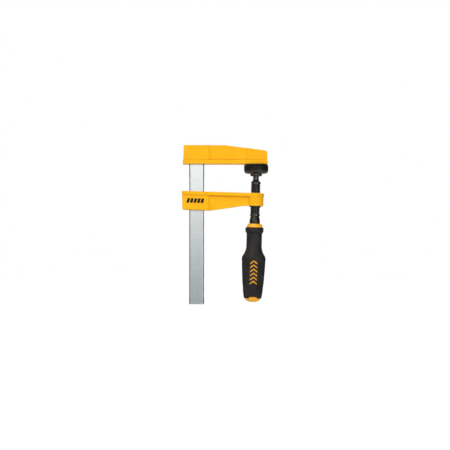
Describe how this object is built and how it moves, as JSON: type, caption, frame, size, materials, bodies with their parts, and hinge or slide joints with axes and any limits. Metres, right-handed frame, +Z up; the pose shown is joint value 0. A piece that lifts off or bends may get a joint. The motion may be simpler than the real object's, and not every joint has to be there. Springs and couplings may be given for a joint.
{
  "type": "f clamp",
  "caption": "Small F clamp: a flat bar, a fixed jaw at its head, a jaw that slides and locks on the bar, and a screw with a swivel pad and a two-colour handle.",
  "frame": {"origin": "the fixed jaw's clamping face on the bar's centre line, midway through the jaws' thickness", "axes": "+Z up the bar towards the fixed jaw, +X from the bar towards the screw, +Y to the back; the side with the handle's mark faces -Y"},
  "size_m": [0.0865, 0.0242, 0.1587],
  "materials": {
    "bar": "bright zinc plate, fine lengthwise grain",
    "jaws": "yellow powder coat over cast metal, light texture",
    "pins": "hardened, ground",
    "bush": "dark phosphate",
    "screw": "black oxide, oiled",
    "pad_steel": "black oxide",
    "pad_cap": "tough moulded plastic",
    "core": "hard moulded plastic, satin",
    "grip": "soft overmould, fine texture"
  },
  "bodies": {
    "bar_and_fixed_jaw": {"bar": "bar", "fixed_jaw": "jaws", "fixed_jaw_pins": "pins"},
    "jaw_pivot": {"rear_bite_pin": "pins"},
    "lower_jaw": {"sliding_jaw": "jaws", "front_bite_pin": "pins", "threaded_bush": "bush"},
    "feed": {"pad_retaining_ring": "screw"},
    "spindle": {"screw": "screw", "handle_ferrule": "screw", "handle_core": "core", "handle_grip": "grip", "grip_marks": "core"},
    "pad": {"swivel_pad": "pad_steel", "pad_cap": "pad_cap"}
  },
  "joints": [
    {"name": "jaw_slide", "type": "slide", "parent": "bar_and_fixed_jaw", "child": "jaw_pivot", "axis": [0, 0, 1], "range_m": [-0.088, 0]},
    {"name": "jaw_rock", "type": "hinge", "parent": "jaw_pivot", "child": "lower_jaw", "pos_m": [-0.00903, 0, -0.03], "axis": [0, 1, 0], "range_deg": [-0.2, 0.8]},
    {"name": "screw_feed", "type": "slide", "parent": "lower_jaw", "child": "feed", "axis": [0.0297, 0, 0.9996], "range_m": [-0.0165, 0]},
    {"name": "screw_spin", "type": "hinge", "parent": "feed", "child": "spindle", "pos_m": [0.05953, 0, -0.0067], "axis": [0.0297, 0, 0.9996], "range_deg": [-3960, 0]},
    {"name": "pad_tilt", "type": "hinge", "parent": "feed", "child": "pad", "pos_m": [0.05953, 0, -0.0067], "axis": [1, 0, 0], "range_deg": [-3.5, 3.5]}
  ],
  "couplings": [
    {"joint": "screw_feed", "follows": "screw_spin", "m_per_rad": 0.00023873}
  ]
}
